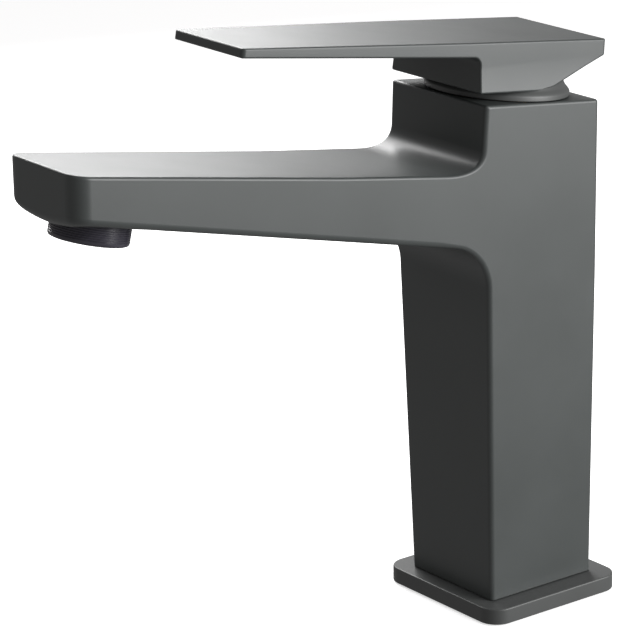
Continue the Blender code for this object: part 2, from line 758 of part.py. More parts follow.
def lever_handle():
    bm = slab_of([(y, h - PIVOT_H) for y, h in lever_outline()])
    for spot, normal in (((0, LEVER_NECK, 0), (0, 1, 0)), ((0, 0, FLARE_TOP_H - PIVOT_H), (0, 0, 1))):
        geom = bm.verts[:] + bm.edges[:] + bm.faces[:]
        bmesh.ops.bisect_plane(bm, geom=geom, dist=1e-4, plane_co=spot, plane_no=normal)
    for vert in bm.verts:
        vert.co.x *= lever_half(vert.co.y, vert.co.z + PIVOT_H)
    handle = rounded(to_object(bm, "lever_handle", COATED, LIFT), 0.5, 2, 40)
    inner, front = BLOCK_ROOF_H - PIVOT_H, BLOCK_FRONT + 2.4
    pocket = slab(
        "handle_pocket_cutter",
        [(front, -20), (front, inner), (14.8, inner), (16.6, inner - 1.5), (16.6, -20)],
        LEVER_NECK_HALF - BLOCK_WALL,
        LIFT,
    )
    swept = []
    for step in range(4):
        lift = LIFT_LIMIT * step / 3
        turn = frame(f"collar_sweep_{step}", (0, 0, 0), lift, LIFT)
        room = 0.4 + 0.05 * step
        profile = [(r + room, h + room - PIVOT_H) for r, h in collar_profile()]
        floor = -PIVOT_H - 1.0
        profile = [(0.0, profile[0][1])] + profile + [(COLLAR_R + room, floor), (0.0, floor)]
        swept.append(turned(f"collar_sweep_cutter_{step}", profile, parent=turn, steps=32, cutter=True))
    boolean(handle, [pocket] + swept)
    boss = plug("stem_boss_tool", BOSS_R, 8.6 - PIVOT_H, inner + 1.0, LIFT, steps=24)
    boolean(handle, [boss], "UNION")
    reach = STEM_HALF + GAP
    socket_top = STEM_TOP_H + GAP - PIVOT_H
    socket = block("stem_socket_cutter", (-reach, -reach, 0), (reach, reach, socket_top), LIFT)
    spot = (0.0, SCREW_H - PIVOT_H)
    screw = plug("grub_hole_cutter", SCREW_R + 0.05, 2.0, LEVER_BACK + 3, LIFT, spot, 16, "Y")
    return boolean(handle, [socket, screw])


def grub_screw():
    low = STEM_HALF + GAP
    screw = plug(
        "grub_screw", SCREW_R - 0.25, low, low + 5.0, LIFT, (0.0, SCREW_H - PIVOT_H), 16, "Y", False, STEEL
    )
    key = plug("key_socket_cutter", 0.7, low + 3.0, low + 7.0, LIFT, (0.0, SCREW_H - PIVOT_H), 6, "Y")
    return boolean(screw, [key])


def screw_plug():
    return plug(
        "screw_plug",
        SCREW_R - 0.25,
        LEVER_BACK - 3.0,
        LEVER_BACK - 0.3,
        LIFT,
        (0.0, SCREW_H - PIVOT_H),
        16,
        "Y",
        False,
        RUBBER,
    )


# Aerator
def aerator_sleeve():
    inner = AERATOR_R - AERATOR_WALL
    lip = inner - 0.9
    profile = (
        (inner, AERATOR_TOP),
        (AERATOR_R, AERATOR_TOP),
        (AERATOR_R, 0.8),
        (AERATOR_R - 0.3, 0.2),
        (AERATOR_R - 1.0, 0.0),
        (lip, 0.0),
        (lip, 1.0),
        (inner, 1.0),
    )
    return turned("aerator_sleeve", profile, DARK_PLASTIC, SPOUT_END, steps=40)


def aerator_insert():
    outer = AERATOR_R - AERATOR_WALL - GAP
    insert = plug(
        "aerator_insert", outer, 1.3, 8.4, SPOUT_END, steps=32, cutter=False, material=DARK_PLASTIC
    )
    slots = [
        block(f"flow_slot_cutter_{n}", (-6.4, y - 0.9, -1), (6.4, y + 0.9, 12), SPOUT_END)
        for n, y in enumerate((-5.2, -1.75, 1.75, 5.2))
    ]
    return boolean(insert, slots)


def aerator_mesh():
    outer = AERATOR_R - AERATOR_WALL - GAP
    return plug("aerator_mesh", outer, 8.7, 9.3, SPOUT_END, steps=32, cutter=False, material=STEEL)


def aerator_washer():
    low, high, inner = AERATOR_TOP + 0.25, AERATOR_SEAT - 0.25, AERATOR_THROAT_R
    profile = ((inner, high), (AERATOR_R, high), (AERATOR_R, low), (inner, low))
    return turned("aerator_washer", profile, RUBBER, SPOUT_END)


body()
base_plate()
base_seal()
cartridge_nut()
cartridge_housing()
swivel_rotor()
stem_pin()
lever_stem()
disc_carrier()
moving_disc()
fixed_disc()
cartridge_base()
seals()
collar()
collar_ring()
lever_handle()
grub_screw()
screw_plug()
aerator_sleeve()
aerator_insert()
aerator_mesh()
aerator_washer()
for part in PARTS.objects:
    if part.type == "MESH":
        part.data.shade_smooth()
        part.data.set_sharp_from_angle(angle=math.radians(30))
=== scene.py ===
# %% [markdown]
# # A black basin mixer
# This lesson dresses a finished engineering model of a single-lever basin mixer. The engineering model is
# a fixed frame: it says where every piece is and which piece moves. Each visible piece is made again here
# with softer edges and finer detail, and every piece gets a finish of its own.
# Sizes are in millimetres while a piece is shaped. They become metres when it is finished.

# %% Load the frame
import json
import math

import bmesh
import bpy
from mathutils import Matrix, Vector

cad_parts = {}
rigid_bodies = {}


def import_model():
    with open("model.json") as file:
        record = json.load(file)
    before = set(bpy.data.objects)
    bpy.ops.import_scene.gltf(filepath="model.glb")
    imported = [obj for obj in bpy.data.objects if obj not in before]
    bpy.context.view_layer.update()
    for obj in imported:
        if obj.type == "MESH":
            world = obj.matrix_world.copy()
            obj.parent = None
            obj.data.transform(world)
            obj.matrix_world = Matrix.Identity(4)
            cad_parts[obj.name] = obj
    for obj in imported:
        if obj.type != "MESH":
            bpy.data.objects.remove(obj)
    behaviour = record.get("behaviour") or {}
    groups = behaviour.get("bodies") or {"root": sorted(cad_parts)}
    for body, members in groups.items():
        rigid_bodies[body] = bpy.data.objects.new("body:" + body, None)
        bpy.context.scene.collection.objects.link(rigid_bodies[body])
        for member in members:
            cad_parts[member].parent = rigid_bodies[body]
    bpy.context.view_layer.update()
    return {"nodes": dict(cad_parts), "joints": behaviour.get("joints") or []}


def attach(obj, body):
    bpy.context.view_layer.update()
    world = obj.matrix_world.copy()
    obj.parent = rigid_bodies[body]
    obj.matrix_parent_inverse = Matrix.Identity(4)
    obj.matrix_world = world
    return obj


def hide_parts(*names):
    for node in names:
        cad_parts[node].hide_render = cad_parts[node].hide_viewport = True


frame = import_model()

MM = 0.001

# %% [markdown]
# ## The camera
# The picture is taken with a long lens, from the right of the spout and a little above it. A long lens
# keeps the column's upright edges nearly parallel, as in a catalogue. The camera could be aimed by hand,
# but two angles, a distance and a small roll are easier to read and to change.

# %% Place the camera
VIEW_SIDE = math.radians(52.335)
VIEW_UP = math.radians(17.659)
VIEW_ROLL = math.radians(-0.571)
CAMERA_SPOT = Vector((0.68205, -0.59694, 0.37211))
LENS = 183.47
SENSOR = 36.0

towards_camera = Vector(
    (
        math.sin(VIEW_SIDE) * math.cos(VIEW_UP),
        -math.cos(VIEW_SIDE) * math.cos(VIEW_UP),
        math.sin(VIEW_UP),
    )
)
level = Vector((math.cos(VIEW_SIDE), math.sin(VIEW_SIDE), 0.0))
upward = towards_camera.cross(level)
right = math.cos(VIEW_ROLL) * level + math.sin(VIEW_ROLL) * upward
upward = math.cos(VIEW_ROLL) * upward - math.sin(VIEW_ROLL) * level
turn = Matrix((right, upward, towards_camera)).transposed().to_4x4()
lens = bpy.data.cameras.new("catalogue_lens")
lens.lens, lens.sensor_width = LENS, SENSOR
lens.clip_start, lens.clip_end = 0.05, 20.0
camera = bpy.data.objects.new("catalogue_camera", lens)
camera.matrix_world = Matrix.Translation(CAMERA_SPOT) @ turn
bpy.context.scene.collection.objects.link(camera)
bpy.context.scene.camera = camera
print("camera at", [round(c, 3) for c in camera.location])

# %% [markdown]
# ## Shader maths as plain expressions
# A finish is a small graph of nodes. Wiring each Math node by hand hides the idea, so a socket is wrapped
# in a class whose operators add the nodes. An expression such as `1 - mask * 0.4` then builds itself.


# %% A socket that can be added and multiplied
class Wire:
    """One output socket of a material's graph."""

    def __init__(self, graph, socket):
        self.graph, self.socket = graph, socket

    def math(self, operation, first, second):
        return self.graph.add("ShaderNodeMath", {"operation": operation}, {0: first, 1: second})

    def __add__(self, other):
        return self.math("ADD", self, other)

    def __sub__(self, other):
        return self.math("SUBTRACT", self, other)

    def __rsub__(self, other):
        return self.math("SUBTRACT", other, self)

    def __mul__(self, other):
        return self.math("MULTIPLY", self, other)

    __radd__ = __add__
    __rmul__ = __mul__


class Finish:
    """A material with one Principled shader. `add` puts in any other node."""

    def __init__(self, name, **plain):
        self.material = bpy.data.materials.new(name)
        self.material.use_nodes = True
        self.nodes = self.material.node_tree.nodes
        self.shader = self.nodes["Principled BSDF"]
        for socket, value in plain.items():
            self.shader.inputs[socket.replace("_", " ")].default_value = value
        self.place = self.add("ShaderNodeTexCoord", out="Object")

    def add(self, kind, settings=None, inputs=None, out=0):
        node = self.nodes.new(kind)
        for key, value in (settings or {}).items():
            setattr(node, key, value)
        for key, value in (inputs or {}).items():
            self.feed(self.socket_of(node.inputs, key), value)
        return Wire(self, self.socket_of(node.outputs, out))

    def socket_of(self, sockets, key):
        if isinstance(key, int):
            return sockets[key]
        return next(s for s in sockets if key in (s.identifier, s.name) and s.enabled)

    def feed(self, socket, value):
        if isinstance(value, Wire):
            self.material.node_tree.links.new(value.socket, socket)
        else:
            socket.default_value = value

    def noise(self, per_metre, detail=2.0, stretch=None):
        place = self.place
        if stretch:
            place = self.add("ShaderNodeMapping", {}, {"Vector": place, "Scale": stretch})
        sockets = {"Vector": place, "Scale": per_metre, "Detail": detail}
        return self.add("ShaderNodeTexNoise", {}, sockets, out="Fac")

    def colour_between(self, share, first, second):
        sockets = {"Factor_Float": share, "A_Color": (*first, 1.0), "B_Color": (*second, 1.0)}
        return self.add("ShaderNodeMix", {"data_type": "RGBA"}, sockets, out="Result_Color")

    def spread(self, value, low, high):
        """The value's middle stretch, low to high, spread over 0 to 1."""
        sockets = {"Value": value, "From Min": low, "From Max": high}
        return self.add("ShaderNodeMapRange", {}, sockets)

    def relief(self, height, strength, depth_mm):
        sockets = {"Height": height, "Strength": strength, "Distance": depth_mm * MM}
        self.feed(self.shader.inputs["Normal"], self.add("ShaderNodeBump", {}, sockets))

    def colour(self, wire):
        self.feed(self.shader.inputs["Base Color"], wire)

    def roughness(self, wire):
        self.feed(self.shader.inputs["Roughness"], wire)


# %% [markdown]
# ## The black coat
# The castings are covered by a satin black coat, sprayed and baked. It isn't flat black: it has a faint
# green-grey tone, a soft orange peel about a millimetre across, and a powdery grain finer than a grain of
# salt. Noise at those two sizes drives a bump, and slow noise moves the tone and the gloss a little, as
# a sprayed coat does. The plate and the collar get a copy of the coat with a slightly drier gloss. Its
# colour is painted a little lighter: painted light, for the brighter light that their faces catch.


# %% Mix the black coat
def black_coat(name, dark, light, dull):
    coat = Finish(name, Specular_IOR_Level=0.5)
    peel, grain = coat.noise(850.0, 2.0), coat.noise(4200.0, 3.0)
    cloud = coat.spread(coat.noise(38.0, 3.0), 0.3, 0.7)
    coat.colour(coat.colour_between(cloud * 0.6 + grain * 0.4, dark, light))
    coat.roughness(dull + cloud * 0.05 + grain * 0.06)
    coat.relief(peel * 0.65 + grain * 0.35, 0.35, 0.03)
    return coat.material


CAST_COAT = black_coat("cast_black_coat", (0.040, 0.045, 0.044), (0.050, 0.056, 0.055), 0.37)
# A copy of the coat with its colour painted a little lighter: painted light on the plate and the collar. Its
# gloss is a little drier.
PAINTED_LIGHTER_COAT = black_coat("plate_black_coat", (0.050, 0.053, 0.052), (0.060, 0.063, 0.062), 0.40)
print("coats:", CAST_COAT.name, PAINTED_LIGHTER_COAT.name)

# %% [markdown]
# ## The nozzle's plastic
# The sleeve of the water nozzle is a dark moulded plastic with a cool violet cast and more gloss than the
# coat. Moulded plastic is even, so only a faint flow mark and a fine bump are needed.


# %% Mix the plastics and the rubber
def moulded(name, dark, light, dull, grain_size, depth_mm):
    plastic = Finish(name)
    flow = plastic.noise(120.0, 2.0, stretch=(1.0, 1.0, 3.0))
    grain = plastic.noise(grain_size, 2.0)
    plastic.colour(plastic.colour_between(plastic.spread(flow, 0.3, 0.7), dark, light))
    plastic.roughness(dull + flow * 0.08)
    plastic.relief(grain, 0.3, depth_mm)
    return plastic.material


NOZZLE_PLASTIC = moulded("nozzle_plastic", (0.028, 0.026, 0.036), (0.042, 0.040, 0.052), 0.22, 2500.0, 0.02)
PALE_PLASTIC = moulded("cartridge_plastic_pale", (0.66, 0.67, 0.65), (0.76, 0.77, 0.75), 0.42, 1800.0, 0.03)
SEAL_RUBBER = moulded("seal_rubber", (0.018, 0.018, 0.018), (0.032, 0.032, 0.033), 0.68, 1500.0, 0.05)

# %% [markdown]
# ## Metals and ceramic
# The nut is turned brass, the stem, pin and screw are stainless steel, and the discs are lapped ceramic.
# Turning and brushing leave fine lines along one direction. Noise stretched along that direction draws
# them, and the same lines change the gloss. Ceramic is smooth, with a few darker specks in its body.


# %% Mix the metals and the ceramic
def brushed(name, dark, light, dull, stretch):
    metal = Finish(name, Metallic=1.0)
    lines = metal.noise(260.0, 4.0, stretch=stretch)
    stain = metal.spread(metal.noise(70.0, 2.0), 0.3, 0.7)
    metal.colour(metal.colour_between(stain * 0.5 + lines * 0.5, dark, light))
    metal.roughness(dull + lines * 0.18)
    metal.relief(lines, 0.2, 0.02)
    return metal.material


TURNED_BRASS = brushed("turned_brass", (0.58, 0.40, 0.17), (0.78, 0.58, 0.29), 0.24, (1.0, 1.0, 14.0))
BRUSHED_STEEL = brushed("brushed_stainless", (0.48, 0.48, 0.47), (0.66, 0.66, 0.65), 0.22, (12.0, 12.0, 1.0))


def lapped_ceramic():
    disc = Finish("lapped_ceramic")
    specks = disc.spread(disc.noise(900.0, 3.0), 0.62, 0.7)
    disc.colour(disc.colour_between(specks, (0.86, 0.85, 0.81), (0.62, 0.60, 0.56)))
    disc.roughness(0.12 + specks * 0.2)
    return disc.material


LAPPED_CERAMIC = lapped_ceramic()

# %% [markdown]
# ## The filter's wire cloth
# Above the nozzle's insert lies a disc of woven wire. Its threads are far finer than a mesh should carry,
# so two wave textures at right angles draw them. Where both waves are low, the colour is painted near
# black as painted shade for the openings between the threads.


# %% Weave the filter cloth
def wire_cloth():
    cloth = Finish("woven_wire", Metallic=1.0)
    waves = [
        cloth.add(
            "ShaderNodeTexWave",
            {"wave_type": "BANDS", "bands_direction": direction, "wave_profile": "SIN"},
            {"Vector": cloth.place, "Scale": 420.0},
            out="Fac",
        )
        for direction in ("X", "Y")
    ]
    thread = cloth.add("ShaderNodeMath", {"operation": "MAXIMUM"}, {0: waves[0], 1: waves[1]})
    # Near black where no thread is shown is painted shade for the openings between the threads.
    shown = cloth.spread(thread, 0.45, 0.7)
    cloth.colour(cloth.colour_between(shown, (0.02, 0.02, 0.02), (0.62, 0.62, 0.60)))
    cloth.roughness(0.65 - shown * 0.3)
    cloth.relief(thread, 0.6, 0.1)
    return cloth.material


WIRE_CLOTH = wire_cloth()
print("finishes:", len(bpy.data.materials))

# %% [markdown]
# ## From a rough shape to a finished piece
# Every piece goes the same way. It is shaped in a bmesh in millimetres, with its place in its points.
# Edges that the real casting has softened get a bevel weight, and one Bevel modifier rounds them all in
# a single pass, so that edges of different widths flow into each other at a corner. Holes are cut with
# Booleans. Everything is then applied, and the normals are weighted by area to keep flat faces flat.


# %% Helpers that finish a piece
WIDEST_ROUND = 2.5


def as_object(bm, name, place=None):
    bmesh.ops.remove_doubles(bm, verts=bm.verts, dist=1e-4)
    bmesh.ops.recalc_face_normals(bm, faces=bm.faces)
    if place:
        bmesh.ops.transform(bm, matrix=place, verts=bm.verts)
    bmesh.ops.scale(bm, vec=(MM, MM, MM), verts=bm.verts)
    mesh = bpy.data.meshes.new(name)
    bm.to_mesh(mesh)
    bm.free()
    made = bpy.data.objects.new(name, mesh)
    bpy.context.scene.collection.objects.link(made)
    return made


def weigh(bm, size_of):
    """Gives each edge the bevel width, in millimetres, that size_of says."""
    bm.normal_update()
    weight = bm.edges.layers.float.new("bevel_weight_edge")
    for edge in bm.edges:
        edge[weight] = size_of(edge) / WIDEST_ROUND


def softened(piece, segments):
    edge = piece.modifiers.new("soften", "BEVEL")
    edge.width, edge.segments = WIDEST_ROUND * MM, segments
    edge.limit_method = "WEIGHT"
    edge.use_clamp_overlap = False
    return piece


def cut(piece, tools, operation="DIFFERENCE"):
    for tool in tools:
        step = piece.modifiers.new(tool.name, "BOOLEAN")
        step.operation, step.object, step.solver = operation, tool, "EXACT"
        tool["tool"] = True
    return piece


def apply_all(piece):
    graph = bpy.context.evaluated_depsgraph_get()
    mesh = bpy.data.meshes.new_from_object(piece.evaluated_get(graph), depsgraph=graph)
    piece.modifiers.clear()
    piece.data = mesh


def finished(piece, material, body, slot, *nodes, sharp=32.0):
    apply_all(piece)
    for tool in [o for o in bpy.data.objects if o.get("tool")]:
        bpy.data.objects.remove(tool, do_unlink=True)
    piece.data.materials.clear()
    piece.data.materials.append(material)
    piece.data.polygons.foreach_set("material_index", [0] * len(piece.data.polygons))
    piece.data.shade_smooth()
    piece.data.set_sharp_from_angle(angle=math.radians(sharp))
    even = piece.modifiers.new("even", "WEIGHTED_NORMAL")
    even.keep_sharp = True
    even.weight = 60
    apply_all(piece)
    piece.data.name = piece.name
    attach(piece, body)
    if nodes:
        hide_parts(*nodes)
    print(f"{piece.name}: {len(piece.data.polygons)} faces")
    return piece


# %% [markdown]
# ## Simple shapes to cut with
# A tool for a hole is a spun profile, a cylinder, or a slab that is drawn from the side and pulled out
# to both sides of the tap's middle plane. Each one starts from a bmesh operator or a few points.


# %% Helpers that make rough shapes
def spun(profile, steps):
    """(radius, height) points spun about Z. A profile that doesn't start and end on the axis is closed."""
    bm = bmesh.new()
    points = [bm.verts.new((radius, 0.0, height)) for radius, height in profile]
    pairs = list(zip(points, points[1:]))
    if profile[0][0] > 0:
        pairs.append((points[-1], points[0]))
    edges = [bm.edges.new(pair) for pair in pairs]
    bmesh.ops.spin(
        bm,
        geom=points + edges,
        cent=(0, 0, 0),
        axis=(0, 0, 1),
        angle=math.tau,
        steps=steps,
        use_merge=True,
    )
    return bm


def cylinder(radius, low, high, spot=(0.0, 0.0), steps=48):
    bm = bmesh.new()
    bmesh.ops.create_cone(
        bm, cap_ends=True, segments=steps, radius1=radius, radius2=radius, depth=high - low
    )
    bmesh.ops.translate(bm, vec=(*spot, (low + high) / 2), verts=bm.verts)
    return bm


def brick(low, high):
    bm = bmesh.new()
    bmesh.ops.create_cube(bm, size=1.0)
    bmesh.ops.scale(bm, vec=Vector(high) - Vector(low), verts=bm.verts)
    bmesh.ops.translate(bm, vec=(Vector(high) + Vector(low)) / 2, verts=bm.verts)
    return bm


def round_corner(bm, point, radius, segments):
    """Rounds one corner of a flat outline by bevelling its point."""
    first, second = ((e.other_vert(point).co - point.co).normalized() for e in point.link_edges)
    reach = radius / math.tan(first.angle(second) / 2)
    bmesh.ops.bevel(
        bm,
        geom=[point],
        offset=reach,
        offset_type="OFFSET",
        segments=segments,
        profile=0.5,
        affect="VERTICES",
        clamp_overlap=False,
        material=-1,
    )


def slab(outline, rounds=(), half=1.0):
    """A side outline of (y, z) points pulled out to half either side. Rounds: (corner, radius, segments)."""
    bm = bmesh.new()
    points = [bm.verts.new((-half, y, z)) for y, z in outline]
    bm.faces.new(points)
    for corner, radius, segments in rounds:
        round_corner(bm, points[corner], radius, segments)
    pulled = bmesh.ops.extrude_face_region(bm, geom=bm.faces[:])["geom"]
    moved = [v for v in pulled if isinstance(v, bmesh.types.BMVert)]
    bmesh.ops.translate(bm, vec=(2 * half, 0, 0), verts=moved)
    return bm


def slice_at(bm, spot, normal):
    geom = bm.verts[:] + bm.edges[:] + bm.faces[:]
    bmesh.ops.bisect_plane(bm, geom=geom, dist=1e-4, plane_co=spot, plane_no=normal)


def near(value, target, reach=0.01):
    return abs(value - target) < reach


# %% [markdown]
# ## The cartridge's frame
# The column's top slopes down towards its back, and the cartridge, the collar and the lever stand square
# to that slope. Their pieces are shaped upright and then placed by one matrix. The lever's lift axis lies
# across it, below the surface, and the water nozzle has a matrix of its own under the spout's tip. The
# tilt comes from the frame's own swivel joint.

# %% Find the tilted frames
joints = {joint["name"]: joint for joint in frame["joints"]}
swivel = joints["lever_swivel"]
TILT = math.atan2(swivel["axis"][1], swivel["axis"][2])
AXIS_SPOT = Vector(swivel["pos_m"]) / MM
CARTRIDGE = Matrix.Translation(AXIS_SPOT) @ Matrix.Rotation(-TILT, 4, "X")
PIVOT_H = (CARTRIDGE.inverted() @ (Vector(joints["lever_lift"]["pos_m"]) / MM)).z
LIFT_LIMIT = math.radians(joints["lever_lift"]["range_deg"][1])
UNDER_RISE = 0.2317
NOZZLE = Matrix.Translation((0.0, -144.9, 134.5)) @ Matrix.Rotation(-math.atan(UNDER_RISE), 4, "X")
print("tilt", round(math.degrees(TILT), 2), "deg, lift axis at", round(PIVOT_H, 2), "mm")

# %% [markdown]
# ## The column and spout
# The column and the spout are one brass casting. From the side it is an L lying over: a column that
# leans forward as it rises and a long flat bar that thins towards its tip. Seen from the front the column
# widens quickly to a waist and then slowly, and the spout narrows towards its tip.
# It could be carved from boxes, but a side outline pulled out to both sides gives every slope at once.
# Its points are then moved sideways to the true width. The spout's underside is bellied near the tip.

# %% Measure the casting
FOOT_Z, FOOT_HALF, FOOT_FRONT, FOOT_BACK = 5.5, 18.2, -20.0, 19.0
PLATE_TOP = 5.2
WAIST_Z, WAIST_HALF = 98.0, 20.25
TOP_HALF, TOP_FRONT, TOP_BACK, TOP_Z = 21.0, -25.6, 16.8, 155.4
TIP_Y, TIP_HALF, TIP_LOW, TIP_HIGH = -159.2, 16.4, 144.4, 157.4
TOP_RISE = 0.170
ARMPIT_R = 15.0
SWELL_Y, SWELL = -75.0, 0.8
ROOT_FRONT, ROOT_ALONG, ROOT_UP = -26.6, 13.0, 7.0
SPOUT_EDGE, UNDER_TIP_EDGE, COLUMN_EDGE, TIP_EDGE = 0.9, 2.4, 1.5, 5.0
BELLY, BELLY_LENGTH = 2.3, 90.0
RIM_ANGLE, UNDER_TIP_REACH = math.radians(50), 30.0
WALL = 3.4
CEILING_Z, DRAFT = 100.0, 0.3


def casting_half(y, z):
    """Half the casting's width at a point of its side."""
    if z < WAIST_Z:
        half = FOOT_HALF + (WAIST_HALF - FOOT_HALF) * (z - PLATE_TOP) / (WAIST_Z - PLATE_TOP)
    else:
        half = WAIST_HALF + (TOP_HALF - WAIST_HALF) * (z - WAIST_Z) / (TOP_Z - WAIST_Z)
    taper = (TOP_HALF - TIP_HALF) / (TOP_FRONT - TIP_Y)
    return half - taper * max(0.0, TOP_FRONT - y)


def under_z(y):
    return TIP_LOW - UNDER_RISE * (y - TIP_Y)


def top_z(y):
    return TIP_HIGH - TOP_RISE * (y - TIP_Y)


def armpit():
    """Where the spout's underside meets the column's leaning front."""
    lean = (TOP_FRONT - FOOT_FRONT) / (TOP_Z - PLATE_TOP)
    y = (FOOT_FRONT + lean * (under_z(0.0) - PLATE_TOP)) / (1 + lean * UNDER_RISE)
    return y, under_z(y)


def root_curve(steps=12):
    """The long soft curve from the spout's top up the front of the tower."""
    corner = Vector((ROOT_FRONT, top_z(ROOT_FRONT) + SWELL))
    start = corner + (Vector((SWELL_Y, top_z(SWELL_Y))) - corner).normalized() * ROOT_ALONG
    end = corner + (Vector((TOP_FRONT, TOP_Z)) - corner).normalized() * ROOT_UP
    shares = [step / steps for step in range(steps + 1)]
    return [tuple(start * (1 - t) ** 2 + corner * (2 * t * (1 - t)) + end * t**2) for t in shares]


CASTING = [
    (FOOT_FRONT, FOOT_Z),
    armpit(),
    (TIP_Y, TIP_LOW),
    (TIP_Y, TIP_HIGH),
    (SWELL_Y, top_z(SWELL_Y)),
    *root_curve(),
    (TOP_FRONT, TOP_Z),
    (TOP_BACK, TOP_Z - math.tan(TILT) * (TOP_BACK - TOP_FRONT)),
    (FOOT_BACK, FOOT_Z),
]
print("armpit", [round(c, 1) for c in CASTING[1]], "swell", [round(c, 1) for c in CASTING[4]])


# %% Choose how round each edge is
def casting_edge(edge):
    """A rim is thin on the spout and the crown, and wider under the spout's tip and on the column."""
    start, end = (v.co for v in edge.verts)
    if edge.calc_face_angle(0.0) < RIM_ANGLE or max(start.z, end.z) < FOOT_Z + 1.0:
        return 0.0
    middle = (start + end) / 2
    if middle.z < (top_z(middle.y) + under_z(middle.y)) / 2:
        near_tip = max(0.0, 1.0 - (middle.y - TIP_Y) / UNDER_TIP_REACH)
        return COLUMN_EDGE + (UNDER_TIP_EDGE - COLUMN_EDGE) * near_tip
    upright = abs(start.z - end.z) / (start - end).length
    return SPOUT_EDGE + (COLUMN_EDGE - SPOUT_EDGE) * upright**2


# %% Shape the casting
def casting():
    bm = slab(CASTING, rounds=((1, ARMPIT_R, 12),))
    for y in (TOP_FRONT, TIP_Y + BELLY_LENGTH):
        slice_at(bm, (0, y, 0), (0, 1, 0))
    slice_at(bm, (0, 0, WAIST_Z), (0, 0, 1))
    for share in (-0.6, -0.45, -0.3, -0.15, 0.0, 0.15, 0.3, 0.45, 0.6):
        bm.normal_update()
        faces = [f for f in bm.faces if abs(f.normal.x) < 0.9]
        around = {v for f in faces for v in f.verts} | {e for f in faces for e in f.edges}
        geom = list(around) + faces
        bmesh.ops.bisect_plane(bm, geom=geom, dist=1e-4, plane_co=(share, 0, 0), plane_no=(1, 0, 0))
    for point in bm.verts:
        share, fade = point.co.x, 1.0 - (point.co.y - TIP_Y) / BELLY_LENGTH
        under = near(point.co.z, under_z(point.co.y), 0.02)
        point.co.x = share * casting_half(point.co.y, point.co.z)
        if under and fade > 0:
            point.co.z -= BELLY * fade * (1.0 - share * share)
    corners = [
        e
        for e in bm.edges
        if all(near(v.co.y, TIP_Y) and near(abs(v.co.x), TIP_HALF, 0.3) for v in e.verts)
        and not near(e.verts[0].co.z, e.verts[1].co.z, 1.0)
    ]
    bmesh.ops.bevel(
        bm, geom=corners, offset=TIP_EDGE, segments=10, profile=0.5, affect="EDGES", material=-1
    )
    weigh(bm, casting_edge)
    return softened(as_object(bm, "column_and_spout"), 6)


# %% [markdown]
# ## What the casting holds
# From below, the column is hollow: two hoses and a stud go up into it through the plate. The ceiling of
# that room has two water ports and the stud's hole. At the top is the stepped bore of the cartridge,
# and under the spout's tip the bore of the nozzle. They are cut so that the piece is right from below
# and nothing inside is buried.


# %% Cut the room, the ports and the bores
def hose_room():
    bm = brick((-1, -1, -1), (1, 1, 1))
    for point in bm.verts:
        low = point.co.z < 0
        z, draft = (PLATE_TOP - 1.0, 0.0) if low else (CEILING_Z, DRAFT)
        share = (z - PLATE_TOP) / (TOP_Z - PLATE_TOP)
        back = FOOT_BACK + (TOP_BACK - FOOT_BACK) * share - WALL
        front = FOOT_FRONT + WALL + draft
        half = FOOT_HALF - WALL - draft
        point.co = (math.copysign(half, point.co.x), front if point.co.y < 0 else back, z)
    return as_object(bm, "hose_room")


BORE = ((0.0, 2.0), (19.3, 2.0), (19.3, -8.0), (17.8, -8.0), (17.8, -32.9), (0.0, -32.9))
PORT_Y = AXIS_SPOT.y + 7.5 * math.cos(TILT) - 32.9 * math.sin(TILT)
casting_tools = [
    as_object(spun(BORE, 64), "cartridge_bore", CARTRIDGE),
    hose_room(),
    as_object(cylinder(3.6, CEILING_Z - 1, 123.0, (7.5, PORT_Y)), "cold_port"),
    as_object(cylinder(3.6, CEILING_Z - 1, 123.0, (-7.5, PORT_Y)), "hot_port"),
    as_object(cylinder(3.9, CEILING_Z - 1, CEILING_Z + 5, (0.0, -8.0)), "stud_hole"),
    as_object(cylinder(11.4, -6.0, 11.6, steps=96), "nozzle_bore", NOZZLE),
]
body_piece = cut(casting(), casting_tools)
finished(body_piece, CAST_COAT, "tap_body", "black_coat", "body")

# %% [markdown]
# ## The base plate
# A square plate covers the hole in the basin. Its corners are generously round, and its upper edge has
# a small radius that catches the light as a thin bright line. A box with its four upright edges bevelled,
# then its upper rim, is all that it needs. The underside is recessed for the rubber seal.


# %% Make the plate
def rounded_box(half, corner, low, high, segments):
    bm = brick((-half, -half, low), (half, half, high))
    upright = [e for e in bm.edges if not near(e.verts[0].co.z, e.verts[1].co.z)]
    bmesh.ops.bevel(
        bm, geom=upright, offset=corner, segments=segments, profile=0.5, affect="EDGES", material=-1
    )
    return bm


def plate():
    bm = rounded_box(25.0, 6.0, 0.4, PLATE_TOP, 12)
    for height, radius in ((PLATE_TOP, 0.45), (0.4, 0.25)):
        rim = [e for e in bm.edges if all(near(v.co.z, height) for v in e.verts)]
        bmesh.ops.bevel(bm, geom=rim, offset=radius, segments=4, profile=0.5, affect="EDGES", material=-1)
    tools = [
        as_object(rounded_box(22.9, 3.9, -1.0, 1.6, 8), "seal_recess"),
        as_object(cylinder(15.5, -2.0, PLATE_TOP + 2.0, steps=64), "plate_hole"),
    ]
    return cut(as_object(bm, "deck_plate"), tools)


finished(plate(), PAINTED_LIGHTER_COAT, "tap_body", "black_coat", "base_plate")

# %% [markdown]
# ## The collar
# A low dome closes the gap between the cartridge and the square top of the column. It is turned, so its
# profile is spun about the cartridge's axis.

